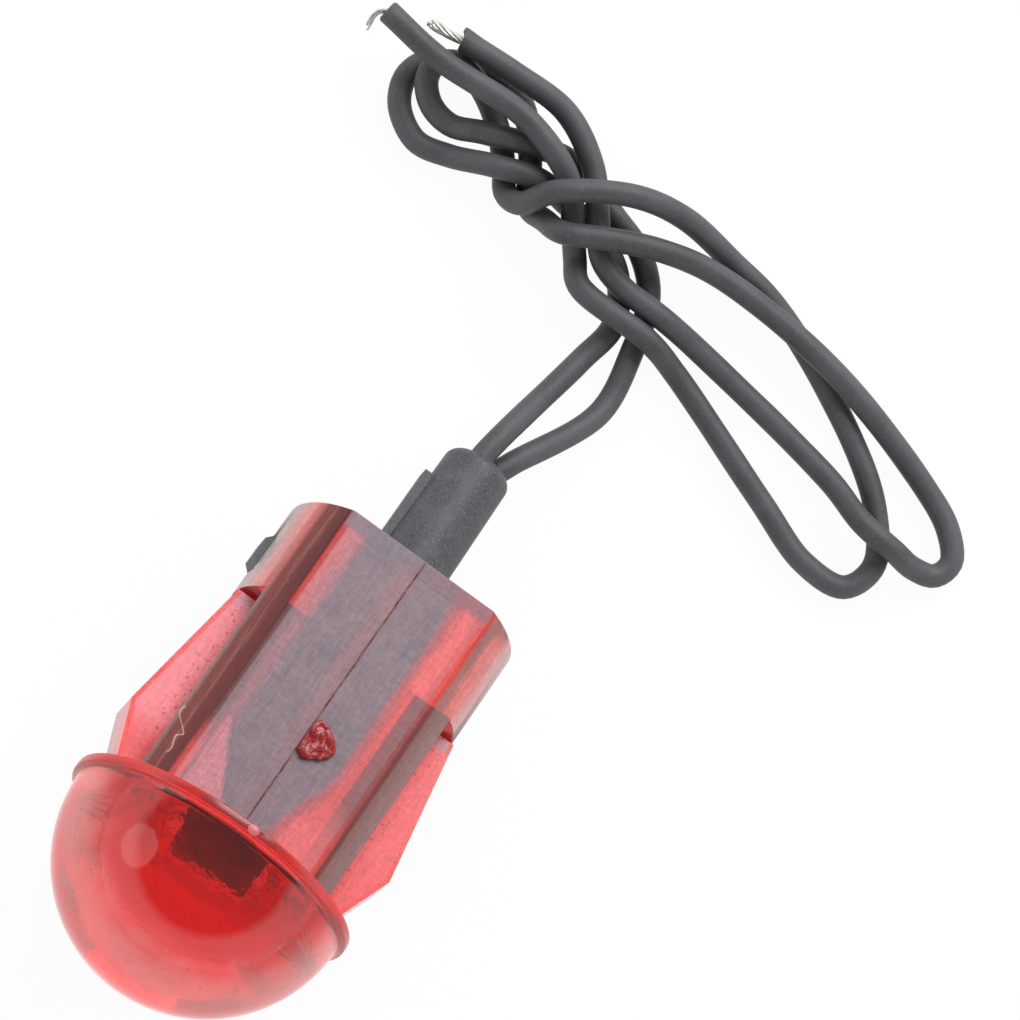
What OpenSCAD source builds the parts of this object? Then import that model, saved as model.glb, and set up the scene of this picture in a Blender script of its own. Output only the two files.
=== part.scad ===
/* [Lens body] */
// Diameter of the barrel across its round sides
barrel_d = 12.4; // [11.8:0.1:12.6]
// Width across the two moulded flats
across_flats = 9.5; // [9.2:0.1:10]
// Length of the barrel behind the flange
barrel_len = 16; // [15.5:0.5:18]
// Diameter of the flange that rests on the panel
flange_d = 15; // [14.8:0.1:17]
// Thickness of the flange
flange_t = 0.5; // [0.4:0.05:0.8]
// Radius of the domed lens in front of the flange
dome_r = 7.2; // [6.8:0.05:7.3]
// Width of the rectangular cavity
cavity_w = 6.6; // [6.4:0.1:7]
// Height of the rectangular cavity
cavity_h = 7.5; // [7.3:0.1:7.7]
// How far the round end of the cavity reaches in front of the flange
nose_depth = 2.4; // [2.2:0.1:2.8]
// Radius on the cavity's round end
nose_fillet = 1.8; // [1.4:0.1:2]

/* [Snap wings] */
// Length of the side windows that the wings stand in
window_len = 10.9; // [10:0.1:11]
// Height of the side windows
window_h = 6.6; // [6.2:0.1:7]
// Thickness of the wall left behind a window
window_wall = 1; // [0.8:0.1:1.1]
// Width of a wing
wing_w = 3.6; // [3:0.1:4]
// Furthest reach of a wing from the axis
wing_reach = 7.3; // [6.8:0.1:7.4]
// Width of a wing where it joins the barrel
wing_root_w = 1.8; // [1.4:0.1:2.4]

/* [Lamp holder] */
// Diameter of the cable sleeve where it leaves the rear plate
sleeve_d = 3.7; // [3.6:0.05:4]
// Diameter of the cable sleeve at its far end
sleeve_end_d = 3.44; // [3.4:0.02:3.6]
// Length of the cable sleeve
sleeve_len = 7.3; // [6.8:0.1:7.5]
// Thickness of the rear plate
plate_t = 1; // [0.8:0.1:1.2]
// Radius on the sleeve's far edge
sleeve_corner = 0.6; // [0.4:0.05:0.7]
// Reach of the latch from the axis
latch_reach = 6.5; // [6.2:0.1:6.6]

/* [Bulb] */
// Outer diameter of the bulb's glass
bulb_d = 3; // [2.9:0.05:3.1]
// Thickness of the glass
glass_t = 0.3; // [0.25:0.05:0.35]
// How far the bulb reaches in front of the flange's rear face
bulb_nose = 1.9; // [1.8:0.05:2]
// Diameter of the two support wires
wire_d = 0.26; // [0.24:0.02:0.3]

/* [Leads] */
// Outer diameter of the insulated leads
lead_d = 1.16; // [1.12:0.02:1.18]
// Diameter of the bore that each lead leaves the holder by
lead_bore_d = 1.35; // [1.32:0.01:1.38]
// Diameter of the twisted strands at the bare end of the first lead
strand_d = 0.48; // [0.4:0.02:0.5]
// Diameter of the few strands left at the bare end of the second lead
thin_strand_d = 0.28; // [0.24:0.02:0.32]

/* [Hidden] */
$fn = 96;
cut = 0.5;                       // how far a cutting tool runs past a face

// The barrel's own axis is y here: 0 at the flange's rear face, positive towards the leads.
barrel_r = barrel_d / 2;
flat_z = across_flats / 2;
flange_r = flange_d / 2;
window_floor = cavity_w / 2 + window_wall;
nose_r = cavity_w / 2;
shut_off = 0.15;                 // relief behind the wings' free ends
seat_w = 7.8;                    // counterbore that takes the rear plate
seat_h = 8.2;
latch_y = 12.2;                  // front of the latch
latch_len = 1.9;
latch_h = 1.8;
latch_play = 0.2;
gate_r = 0.85;                   // torn gate on the upper flat
gate_tip_r = 0.12;
gate_h = 0.35;

block_left = -(cavity_w / 2 - 0.1);
block_right = 2.6;
block_h = 6.9;
block_front = -1.5;              // the holder's narrow front end
block_step = 0.8;                // where the taper starts
block_full = 3.2;                // where the block has its full size
step_w = 1.85;                   // half sizes at the taper's start and at the front end
step_h = 2.4;
front_w = 1.65;
front_h = 2.3;
plate_w = seat_w - 0.2;
plate_h = seat_h - 0.2;
sleeve_x = -0.1;
rib_proud = 0.25;
rib_w = 1.2;
rib_len = 5.3;
bulb_r = bulb_d / 2;
socket_d = bulb_d + 0.1;
socket_floor = 7.5;
chamber_d = 3;
chamber_end = 11.5;
finger_gap = 0.3;
finger_len = 5.2;
finger_depth = 1.5;

pinch_t = 0.9;                   // solid glass at the bulb's rear
wire_gap = 1;                    // distance between the support wires
wire_front = -0.4;
wire_end = 10.4;
hook = 0.42;
filament_d = 0.16;
bead_y = 3.6;
bead_d = 0.8;
bead_w = 1.9;

joint_front = 9.6;
joint_len = 1;
joint_d = 1.1;
strand_start = 9.8;
lead_start = 11;
lead_exit = [[-0.35, 0.45], [0.65, -0.4]];
joint_at = [[-0.52, 0.22], [0.68, -0.2]];
lead_sides = 8;

// The lamp rests on the flange's lower edge and the lower rear edge of the barrel.
tilt = atan((flange_r - flat_z) / barrel_len);
stand_z = flange_r * cos(tilt);
sleeve_end = barrel_len + sleeve_len;
corner_y = sleeve_end - sleeve_corner;
corner_z = sleeve_end_d / 2 - sleeve_corner;
rear_reach = corner_y * cos(tilt) + corner_z * sin(tilt) + sleeve_corner;
front_reach = flange_t * cos(tilt) + dome_r;
origin_y = (rear_reach - front_reach) / 2;

// Where each lead runs after the sleeve, in the resting frame.
lead_r = lead_d / 2;
route_1 = [
    [-0.2, 16.6, 3.6], [1.0, 22.9, 0.7], [1.3, 25.2, 0.6], [0.1, 27.3, 0.6], [-1.7, 28.3, 0.6],
    [-4.0, 28.7, 0.6], [-5.8, 28.5, 2.0], [-8.0, 27.7, 2.0], [-9.9, 27.1, 0.9], [-11.6, 26.8, 0.6],
    [-13.2, 27.7, 0.6], [-13.8, 29.0, 0.6], [-13.6, 30.0, 0.6], [-12.9, 30.7, 0.6], [-10.8, 31.8, 0.6],
    [-8.5, 31.4, 0.6], [-6.6, 29.4, 0.6], [-5.4, 27.5, 0.6], [-4.4, 27.1, 1.8], [-3.4, 26.8, 3.2],
    [-1.7, 27.7, 3.3], [0.9, 29.0, 2.9], [4.1, 29.9, 2.1], [11.2, 29.5, 1.9], [18.3, 27.8, 0.6],
    [20.3, 26.8, 0.6], [21.3, 25.6, 0.6], [21.0, 24.6, 0.6], [19.9, 24.2, 0.9], [18.5, 24.1, 1.9],
    [16.5, 24.3, 1.9], [14.1, 25.3, 0.8], [5.5, 26.6, 0.9], [3.0, 26.6, 1.9], [0.4, 26.7, 1.9],
    [-1.1, 27.2, 2.0], [-2.4, 28.8, 1.9], [-4.1, 30.7, 1.9], [-6.6, 32.0, 2.0], [-9.8, 31.9, 2.5],
    [-12.5, 31.7, 2.6]];
route_2 = [
    [1.0, 16.2, 2.8], [3.2, 21.3, 0.8], [2.8, 24.6, 0.6], [1.9, 27.4, 0.6], [0.3, 28.9, 0.6],
    [-1.7, 29.6, 0.6], [-4.7, 30.5, 0.6], [-6.4, 29.9, 1.9], [-9.2, 28.8, 1.9], [-10.7, 28.3, 1.2],
    [-12.0, 28.5, 1.3], [-12.9, 29.3, 1.6], [-13.0, 30.1, 1.9], [-12.3, 30.8, 1.8], [-11.0, 30.7, 1.7],
    [-9.0, 29.9, 0.6], [-7.4, 28.3, 0.6], [-6.7, 27.3, 0.9], [-5.8, 27.0, 2.1], [-4.8, 28.1, 3.8],
    [-1.7, 30.2, 3.6], [1.0, 31.1, 2.5], [4.3, 31.1, 1.1], [7.3, 30.7, 0.6], [13.8, 27.7, 0.6],
    [16.8, 25.5, 0.6], [18.3, 23.2, 0.6], [17.7, 21.5, 0.6], [15.4, 21.3, 0.6], [12.0, 22.5, 0.6],
    [5.1, 25.0, 0.9], [3.0, 25.3, 1.9], [-1.2, 25.5, 1.8], [-2.1, 26.6, 1.2], [-3.2, 27.8, 1.9],
    [-4.5, 29.1, 2.7], [-5.8, 29.7, 3.1], [-8.3, 30.3, 3.2], [-13.0, 30.1, 3.2], [-16.4, 30.5, 3.2]];
routes = [route_1, route_2];
bare_1 = [[-13.2, 31.6, 2.4], [-14.5, 31.5, 2.2]];
bare_2 = [[-16.7, 30.2, 3.1], [-16.7, 29.2, 2.9]];

// Moves a piece from the barrel's own frame to the resting frame.
module placed() {
    translate([0, -origin_y, stand_z]) rotate([-tilt, 0, 0]) children();
}

// The same move for one point.
function placed_point(p) = [p[0],
    p[1] * cos(tilt) + p[2] * sin(tilt) - origin_y,
    p[2] * cos(tilt) - p[1] * sin(tilt) + stand_z];

// A turned or extruded shape that runs along the barrel from y = start.
module along(start, x = 0, z = 0) {
    translate([x, start, z]) rotate([-90, 0, 0]) children();
}

// A box given by its two opposite corners.
module box(low, high) {
    translate(low) cube(high - low);
}

function lead_path(k) = concat([
    placed_point([lead_exit[k][0], lead_start, lead_exit[k][1]]),
    placed_point([lead_exit[k][0], sleeve_end, lead_exit[k][1]])], routes[k]);

function unit(v) = v / norm(v);

function heading(path, i, first) =
    i == 0 ? (is_undef(first) ? unit(path[1] - path[0]) : first)
    : i == len(path) - 1 ? unit(path[i] - path[i - 1])
    : unit(unit(path[i] - path[i - 1]) + unit(path[i + 1] - path[i]));

function end_heading(path) = unit(path[len(path) - 1] - path[len(path) - 2]);

// One sideways direction for each ring, carried along so that the tube doesn't twist.
function side_list(path, first, i, last) =
    i == len(path) ? []
    : let (t = heading(path, i, first), side = unit(last - t * (last * t)))
        concat([side], side_list(path, first, i + 1, side));

// A round tube swept along a path of points.
module swept(path, radius, first = undef) {
    start_side = cross(heading(path, 0, first), [0, 0, 1]);
    side = side_list(path, first, 0, start_side);
    rings = len(path);
    points = [for (i = [0:rings - 1]) let (t = heading(path, i, first), up = cross(t, side[i]))
        for (k = [0:lead_sides - 1]) let (a = 360 * k / lead_sides)
            path[i] + radius * (cos(a) * side[i] + sin(a) * up)];
    walls = [for (i = [0:rings - 2], k = [0:lead_sides - 1])
        let (a = i * lead_sides + k, b = i * lead_sides + (k + 1) % lead_sides)
            each [[a, a + lead_sides, b + lead_sides], [a, b + lead_sides, b]]];
    first_cap = [[for (k = [0:lead_sides - 1]) k]];
    last_cap = [[for (k = [lead_sides - 1:-1:0]) (rings - 1) * lead_sides + k]];
    polyhedron(points = points, faces = concat(walls, first_cap, last_cap));
}

// The barrel's round section cut by the two flats.
module barrel_section() {
    intersection() {
        circle(r = barrel_r);
        square([2 * barrel_d, across_flats], center = true);
    }
}

module dome() {
    intersection() {
        translate([0, -flange_t, 0]) sphere(r = dome_r);
        box([-dome_r - cut, -flange_t - dome_r - cut, -dome_r - cut], [dome_r + cut, -flange_t, dome_r + cut]);
    }
}

module cavity() {
    box([-cavity_w / 2, 0, -cavity_h / 2], [cavity_w / 2, barrel_len + cut, cavity_h / 2]);
    along(-nose_depth) rotate_extrude() {
        polygon([[0, 0], [nose_r - nose_fillet, 0], [nose_r, nose_fillet], [nose_r, nose_depth + cut],
                 [0, nose_depth + cut]]);
        translate([nose_r - nose_fillet, nose_fillet]) intersection() {
            circle(r = nose_fillet);
            translate([0, -nose_fillet]) square(nose_fillet);
        }
    }
    box([-seat_w / 2, barrel_len - plate_t, -seat_h / 2], [seat_w / 2, barrel_len + cut, seat_h / 2]);
}

// One side window, with the relief that runs on into the flange.
module window() {
    box([window_floor, -shut_off, -window_h / 2], [flange_r + cut, 0, window_h / 2]);
    box([window_floor, 0, -window_h / 2], [barrel_r + cut, window_len, window_h / 2]);
}

// A springy wing: fixed at the rear, free behind the flange.
module wing() {
    inner = window_floor + 0.7;
    root = window_len + 0.4;
    intersection() {
        translate([0, 0, -wing_w / 2]) linear_extrude(wing_w)
            polygon([[inner, 0.5], [wing_reach - 1.05, 0.5], [wing_reach, 3.3],
                     [barrel_r - 0.1, window_len + 0.1], [barrel_r - 0.1, root], [inner, root]]);
        rotate([0, 90, 0]) linear_extrude(wing_reach + cut)
            polygon([[-wing_w / 2, 0], [-wing_w / 2, window_len - 0.35], [-wing_root_w / 2, window_len - 0.05],
                     [-wing_root_w / 2, root + cut], [wing_root_w / 2, root + cut],
                     [wing_root_w / 2, window_len - 0.05], [wing_w / 2, window_len - 0.35], [wing_w / 2, 0]]);
    }
}

module latch_hole() {
    box([-barrel_r - cut, latch_y - latch_play, -latch_h / 2 - latch_play / 2],
        [-cavity_w / 2 + cut, latch_y + latch_len + latch_play, latch_h / 2 + latch_play / 2]);
}

// What is left of the moulding gate on the upper flat.
module gate_mark() {
    translate([0, 0, flat_z - gate_h]) linear_extrude(2 * gate_h) hull() {
        translate([0.8, 5.6]) circle(r = gate_r, $fn = 32);
        translate([0.17, 6.8]) circle(r = gate_tip_r, $fn = 32);
    }
}

module lens_body() {
    color([0.86, 0.2, 0.18]) placed() {
        difference() {
            union() {
                along(-flange_t) cylinder(r = flange_r, h = flange_t);
                along(-flange_t) linear_extrude(barrel_len + flange_t) barrel_section();
                dome();
            }
            cavity();
            window();
            mirror([1, 0, 0]) window();
            latch_hole();
        }
        wing();
        mirror([1, 0, 0]) wing();
        gate_mark();
    }
}

// The block's sprung finger carries the latch on the left.
module finger_slots() {
    for (side = [-1, 1])
        translate([block_left - cut, latch_y - 3, side * (latch_h / 2 + finger_gap / 2) - finger_gap / 2])
            cube([finger_depth + cut, finger_len, finger_gap]);
    box([block_left - cut, latch_y - 3, -latch_h / 2], [block_left + finger_depth, latch_y - 3 + finger_gap, latch_h / 2]);
}

module latch() {
    translate([0, 0, -latch_h / 2]) linear_extrude(latch_h)
        polygon([[block_left + 0.4, latch_y], [-latch_reach + 0.5, latch_y], [-latch_reach, latch_y + 0.5],
                 [-latch_reach, latch_y + latch_len - 0.4], [-latch_reach + 0.35, latch_y + latch_len],
                 [block_left + 0.4, latch_y + latch_len]]);
}

module sleeve() {
    along(barrel_len - plate_t, sleeve_x) rotate_extrude() union() {
        polygon([[0, 0], [sleeve_d / 2, 0], [sleeve_end_d / 2, plate_t + sleeve_len - sleeve_corner],
                 [sleeve_end_d / 2 - sleeve_corner, plate_t + sleeve_len], [0, plate_t + sleeve_len]]);
        translate([sleeve_end_d / 2 - sleeve_corner, plate_t + sleeve_len - sleeve_corner])
            circle(r = sleeve_corner);
    }
    box([sleeve_x - sleeve_d / 2 - rib_proud, barrel_len - plate_t, -rib_w / 2],
        [sleeve_x, barrel_len + rib_len, rib_w / 2]);
}

// The four corners of one cross-section of the holder's front.
function section(y, left, right, half) = [[left, y, -half], [right, y, -half], [right, y, half], [left, y, half]];

// The holder's front narrows in two steps to clear the round end of the cavity.
module front_block() {
    rows = [section(block_front, -front_w, front_w, front_h), section(block_step, -step_w, step_w, step_h),
            section(block_full, block_left, block_right, block_h / 2)];
    points = [for (row = rows) each row];
    walls = [for (i = [0:len(rows) - 2], k = [0:3])
        let (a = 4 * i + k, b = 4 * i + (k + 1) % 4) each [[a, b, b + 4], [a, b + 4, a + 4]]];
    polyhedron(points = points, faces = concat(walls, [[3, 2, 1, 0], [8, 9, 10, 11]]));
}

module lamp_holder() {
    color([0.13, 0.13, 0.14]) placed() difference() {
        union() {
            front_block();
            box([block_left, block_full, -block_h / 2], [block_right, barrel_len, block_h / 2]);
            box([-plate_w / 2, barrel_len - plate_t, -plate_h / 2], [plate_w / 2, barrel_len, plate_h / 2]);
            latch();
            sleeve();
        }
        along(block_front - cut) cylinder(d = socket_d, h = socket_floor - block_front + cut);
        along(socket_floor - cut) cylinder(d = chamber_d, h = chamber_end - socket_floor + cut);
        for (p = lead_exit)
            along(chamber_end - cut, p[0], p[1])
                cylinder(d = lead_bore_d, h = sleeve_end - chamber_end + 2 * cut);
        finger_slots();
    }
}

module bulb_outer(r) {
    along(-bulb_nose + bulb_r) cylinder(r = r, h = socket_floor + bulb_nose - bulb_r);
    translate([0, -bulb_nose + bulb_r, 0]) sphere(r = r);
}

module bulb_inner(r) {
    along(-bulb_nose + bulb_r) cylinder(r = r, h = socket_floor - pinch_t + bulb_nose - bulb_r);
    translate([0, -bulb_nose + bulb_r, 0]) sphere(r = r);
}

module wire_bores(start, length) {
    for (side = [-1, 1])
        along(start, side * wire_gap / 2) cylinder(d = wire_d, h = length);
}

module bulb_glass() {
    color([0.85, 0.88, 0.9, 0.4]) placed() difference() {
        bulb_outer(bulb_r);
        bulb_inner(bulb_r - glass_t);
        wire_bores(socket_floor - pinch_t - cut, pinch_t + 2 * cut);
    }
}

module bulb_bead() {
    color([0.55, 0.7, 0.72]) placed() difference() {
        translate([-bead_w / 2, bead_y, 0]) rotate([0, 90, 0]) cylinder(d = bead_d, h = bead_w);
        wire_bores(bead_y - bead_d, 2 * bead_d);
    }
}

module filament() {
    inner = (wire_gap - hook) / 2;
    color([0.4, 0.4, 0.42]) placed()
        translate([-inner, wire_front + hook / 2, 0]) rotate([0, 90, 0]) cylinder(d = filament_d, h = 2 * inner);
}

// Each support wire is flattened to a small hook that holds the filament.
module support_wire(side) {
    color([0.7, 0.66, 0.6]) placed() {
        along(wire_front + hook / 2, side * wire_gap / 2) cylinder(d = wire_d, h = wire_end - wire_front - hook / 2);
        translate([side * wire_gap / 2 - hook / 2, wire_front, -hook / 2]) cube(hook);
    }
}

module solder_joint(k) {
    side = 2 * k - 1;
    color([0.72, 0.73, 0.75]) placed() difference() {
        along(joint_front, joint_at[k][0], joint_at[k][1]) cylinder(d = joint_d, h = joint_len);
        along(joint_front - cut, side * wire_gap / 2) cylinder(d = wire_d, h = wire_end - joint_front + cut);
        along(strand_start, lead_exit[k][0], lead_exit[k][1]) cylinder(d = strand_d, h = joint_len + cut);
    }
}

module inner_strand(k) {
    color([0.75, 0.74, 0.7]) placed()
        along(strand_start, lead_exit[k][0], lead_exit[k][1]) cylinder(d = strand_d, h = lead_start - strand_start);
}

module lead(k) {
    color([0.3, 0.3, 0.31]) swept(lead_path(k), lead_r);
}

module bare_tip(k, bare, width) {
    path = lead_path(k);
    color([0.75, 0.74, 0.7])
        swept(concat([path[len(path) - 1]], bare), width / 2, end_heading(path));
}

lens_body();
lamp_holder();
bulb_glass();
bulb_bead();
filament();
support_wire(-1);  // support_wire_1
support_wire(1);  // support_wire_2
solder_joint(0);  // solder_joint_1
solder_joint(1);  // solder_joint_2
inner_strand(0);  // inner_strand_1
inner_strand(1);  // inner_strand_2
lead(0);  // lead_1
lead(1);  // lead_2
bare_tip(0, bare_1, strand_d);  // tip_1
bare_tip(1, bare_2, thin_strand_d);  // tip_2
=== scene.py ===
"""Snap-in indicator light with wire leads: the finished surfaces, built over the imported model."""
import math

import bmesh
import bpy
import numpy as np
from mathutils import Matrix, Vector


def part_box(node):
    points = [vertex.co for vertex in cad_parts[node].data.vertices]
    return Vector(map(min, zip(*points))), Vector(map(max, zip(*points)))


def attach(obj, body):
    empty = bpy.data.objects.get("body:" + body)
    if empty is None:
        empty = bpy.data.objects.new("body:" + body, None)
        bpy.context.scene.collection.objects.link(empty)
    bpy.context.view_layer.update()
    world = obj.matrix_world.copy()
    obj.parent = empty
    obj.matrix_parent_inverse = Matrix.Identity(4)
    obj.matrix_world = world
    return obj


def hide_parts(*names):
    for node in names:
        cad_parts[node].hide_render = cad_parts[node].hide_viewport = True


bl_info = {
    "name": "Snap-in Indicator Light",
    "version": (1, 0, 0),
    "blender": (4, 5, 0),
    "location": "View3D > Sidebar > Indicator Light",
    "description": "Builds a red panel lamp with its holder, bulb and folded leads",
    "category": "Add Mesh",
}

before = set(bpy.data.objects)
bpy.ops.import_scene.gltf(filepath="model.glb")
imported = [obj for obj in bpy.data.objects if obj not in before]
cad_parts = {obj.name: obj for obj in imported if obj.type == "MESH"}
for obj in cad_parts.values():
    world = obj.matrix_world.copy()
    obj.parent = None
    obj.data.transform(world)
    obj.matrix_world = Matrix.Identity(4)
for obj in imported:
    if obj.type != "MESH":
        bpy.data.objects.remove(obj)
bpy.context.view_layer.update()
MM = 0.001

# Places in the barrel's own frame, in millimetres.
GATE = (0.7, 5.72)              # the middle of the gate mark, in x and y
NUB = (0.45, -0.25)             # the middle of the nub on the rim, in x and y
WINDOW_END = (10.36, 10.5)      # where the skins change behind the side windows, in y
WING_INSET = 1.7                # from the cavity's side to a wing's root, in x
LEAD_EXITS = ((-0.35, 0.45), (0.65, -0.4))      # of the two leads, in x and z
LEAD_START = 11.0               # inside the holder, in y
SLEEVE_END = 23.3               # where the leads leave the holder's sleeve, in y
ROUTE_STEP = 0.25               # between the rings of an insulated lead

# The camera: azimuth, elevation and roll in degrees, its place in metres and its lens in millimetres.
CAMERA_ANGLES = (-17.26, 78.06, 53.01)
CAMERA_PLACE = (-0.0158, -0.043665, 0.29061)
CAMERA_LENS = 218.8

# The leads' routes after the sleeve, in millimetres, as the model's source has them.
ROUTE_1 = [
    (-0.2, 16.6, 3.6), (1.0, 22.9, 0.7), (1.3, 25.2, 0.6), (0.1, 27.3, 0.6), (-1.7, 28.3, 0.6),
    (-4.0, 28.7, 0.6), (-5.8, 28.5, 2.0), (-8.0, 27.7, 2.0), (-9.9, 27.1, 0.9), (-11.6, 26.8, 0.6),
    (-13.2, 27.7, 0.6), (-13.8, 29.0, 0.6), (-13.6, 30.0, 0.6), (-12.9, 30.7, 0.6), (-10.8, 31.8, 0.6),
    (-8.5, 31.4, 0.6), (-6.6, 29.4, 0.6), (-5.4, 27.5, 0.6), (-4.4, 27.1, 1.8), (-3.4, 26.8, 3.2),
    (-1.7, 27.7, 3.3), (0.9, 29.0, 2.9), (4.1, 29.9, 2.1), (11.2, 29.5, 1.9), (18.3, 27.8, 0.6),
    (20.3, 26.8, 0.6), (21.3, 25.6, 0.6), (21.0, 24.6, 0.6), (19.9, 24.2, 0.9), (18.5, 24.1, 1.9),
    (16.5, 24.3, 1.9), (14.1, 25.3, 0.8), (5.5, 26.6, 0.9), (3.0, 26.6, 1.9), (0.4, 26.7, 1.9),
    (-1.1, 27.2, 2.0), (-2.4, 28.8, 1.9), (-4.1, 30.7, 1.9), (-6.6, 32.0, 2.0), (-9.8, 31.9, 2.5),
    (-12.5, 31.7, 2.6)]
ROUTE_2 = [
    (1.0, 16.2, 2.8), (3.2, 21.3, 0.8), (2.8, 24.6, 0.6), (1.9, 27.4, 0.6), (0.3, 28.9, 0.6),
    (-1.7, 29.6, 0.6), (-4.7, 30.5, 0.6), (-6.4, 29.9, 1.9), (-9.2, 28.8, 1.9), (-10.7, 28.3, 1.2),
    (-12.0, 28.5, 1.3), (-12.9, 29.3, 1.6), (-13.0, 30.1, 1.9), (-12.3, 30.8, 1.8), (-11.0, 30.7, 1.7),
    (-9.0, 29.9, 0.6), (-7.4, 28.3, 0.6), (-6.7, 27.3, 0.9), (-5.8, 27.0, 2.1), (-4.8, 28.1, 3.8),
    (-1.7, 30.2, 3.6), (1.0, 31.1, 2.5), (4.3, 31.1, 1.1), (7.3, 30.7, 0.6), (13.8, 27.7, 0.6),
    (16.8, 25.5, 0.6), (18.3, 23.2, 0.6), (17.7, 21.5, 0.6), (15.4, 21.3, 0.6), (12.0, 22.5, 0.6),
    (5.1, 25.0, 0.9), (3.0, 25.3, 1.9), (-1.2, 25.5, 1.8), (-2.1, 26.6, 1.2), (-3.2, 27.8, 1.9),
    (-4.5, 29.1, 2.7), (-5.8, 29.7, 3.1), (-8.3, 30.3, 3.2), (-13.0, 30.1, 3.2), (-16.4, 30.5, 3.2)]
BARE_1 = [(-13.2, 31.6, 2.4), (-14.5, 31.5, 2.2)]
BARE_2 = [(-16.7, 30.2, 3.1), (-16.7, 29.2, 2.9)]


def size(name, default, description, low=0.0, high=100.0):
    """A size in millimetres for the sidebar."""
    return bpy.props.FloatProperty(
        name=name, description=description, default=default, min=low, max=high, precision=2)


def tint(name, default, description):
    """A colour for the sidebar."""
    return bpy.props.FloatVectorProperty(
        name=name, description=description, default=default, subtype="COLOR", size=3, min=0.0, max=1.0)


class LampBodySettings(bpy.types.PropertyGroup):
    barrel_d: size("Barrel diameter", 12.4, "Across the barrel's round sides, in millimetres")
    across_flats: size("Across flats", 9.5, "Between the two moulded flats, in millimetres")
    barrel_len: size("Barrel length", 16.0, "Behind the flange, in millimetres")
    flange_d: size("Flange diameter", 15.0, "Of the rim that rests on the panel, in millimetres")
    flange_t: size("Flange thickness", 0.5, "Of the rim, in millimetres")
    dome_r: size("Dome radius", 7.2, "Of the domed lens, in millimetres")
    cavity_w: size("Cavity width", 6.6, "Of the space for the holder, in millimetres")
    cavity_h: size("Cavity height", 7.5, "Of the space for the holder, in millimetres")
    nose_depth: size("Nose depth", 2.4, "Of the round space in front of the flange, in millimetres")
    nose_fillet: size("Nose fillet", 1.8, "Radius on the front of that space, in millimetres")
    window_len: size("Window length", 10.9, "Of the side windows, in millimetres")
    window_h: size("Window height", 6.6, "Of the side windows, in millimetres")
    wing_w: size("Wing width", 3.6, "Of the springy wings, in millimetres")
    wing_reach: size("Wing reach", 7.3, "Of the wings from the axis, in millimetres")
    glow: tint("Plastic", (0.996, 0.22, 0.14), "What the red plastic lets through")


class LeadSettings(bpy.types.PropertyGroup):
    lead_d: size("Lead diameter", 1.16, "Over the insulation, in millimetres")
    strand_d: size("Strand diameter", 0.48, "Of the bare twist on the first lead, in millimetres")
    thin_d: size("Loose strands", 0.28, "Of the bare strands on the second lead, in millimetres")
    jacket: tint("Jacket", (0.06, 0.062, 0.067), "Colour of the insulation")


class StageSettings(bpy.types.PropertyGroup):
    backdrop: tint("Backdrop", (1.0, 1.0, 1.0), "Colour behind and below the lamp")
    lamp_power: bpy.props.FloatProperty(
        name="Softbox power", description="Of the large overhead light", default=2.6, min=0.0, unit="POWER")
    floor_glow: bpy.props.FloatProperty(
        name="Floor glow", description="How bright the floor looks through the plastic", default=1.0, min=0.0, max=1.0)
    window_power: bpy.props.FloatProperty(
        name="Window power", description="Of the small light low on the left", default=0.17, min=0.0, unit="POWER")
    wall_light: bpy.props.FloatProperty(
        name="Wall light", description="Strength of the light from the sides", default=1.45, min=0.0)
    ceiling_light: bpy.props.FloatProperty(
        name="Ceiling light", description="Strength of the light from above", default=0.4, min=0.0)


# ---------------------------------------------------------------- frame of the lamp

def lean():
    """The lamp's tilt, its height and its shift along y, from the sizes that it rests on."""
    s = bpy.context.scene.lamp_body
    tilt = math.atan((s.flange_d / 2 - s.across_flats / 2) / s.barrel_len)
    height = s.flange_d / 2 * math.cos(tilt)
    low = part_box("lens_body")[0][1] / MM
    shift = low + s.flange_t * math.cos(tilt) + s.dome_r
    return tilt, height, shift


def to_rest(points):
    """Points from the barrel's own frame, in millimetres, to the resting frame, in metres."""
    tilt, height, shift = lean()
    p = np.asarray(points, float)
    y = p[..., 1] * math.cos(tilt) + p[..., 2] * math.sin(tilt) + shift
    z = p[..., 2] * math.cos(tilt) - p[..., 1] * math.sin(tilt) + height
    return np.stack([p[..., 0], y, z], axis=-1) * MM


# ---------------------------------------------------------------- surfaces

def grid_faces(rows, columns, wrap):
    """Quads between the rows of a grid; wrap joins each row's last point to its first."""
    i, j = np.meshgrid(np.arange(rows - 1), np.arange(columns if wrap else columns - 1), indexing="ij")
    k = (j + 1) % columns
    return np.stack([i * columns + j, i * columns + k, (i + 1) * columns + k, (i + 1) * columns + j],
                    axis=-1).reshape(-1, 4)


def lofted(rings):
    """A closed solid through a stack of rings (rows, columns, 3), with a flat cap on each end."""
    rows, columns = rings.shape[:2]
    faces = grid_faces(rows, columns, True).tolist()
    faces.append(list(range(columns))[::-1])
    faces.append([(rows - 1) * columns + j for j in range(columns)])
    return rings.reshape(-1, 3), faces


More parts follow.
